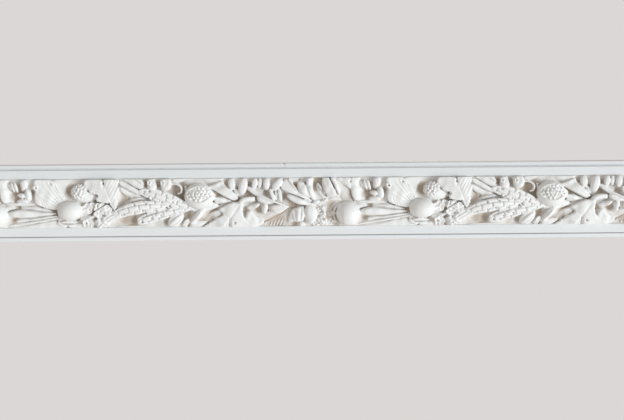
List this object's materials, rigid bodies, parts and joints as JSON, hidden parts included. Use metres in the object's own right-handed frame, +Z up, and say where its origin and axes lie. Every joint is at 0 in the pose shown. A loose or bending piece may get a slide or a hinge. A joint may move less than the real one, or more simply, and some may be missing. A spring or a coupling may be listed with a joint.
{
  "type": "enriched plaster moulding",
  "caption": "Straight length of plaster frieze moulding: plain rails beside a sunk bed filled with fruit, ears and foliage in high relief.",
  "frame": {"origin": "centre of the flat back that is fixed to the wall", "axes": "+X along the moulding to the right as seen from the front, +Z up, -Y out of the wall towards the viewer"},
  "size_m": [1, 0.0408, 0.1224],
  "materials": {
    "run_plaster": "smooth run plaster under matt white paint",
    "cast_plaster": "cast plaster under matt white paint"
  },
  "bodies": {
    "root": {"run_moulding": "run_plaster", "enrichment_cast_left": "cast_plaster", "enrichment_cast_right": "cast_plaster"}
  },
  "joints": []
}
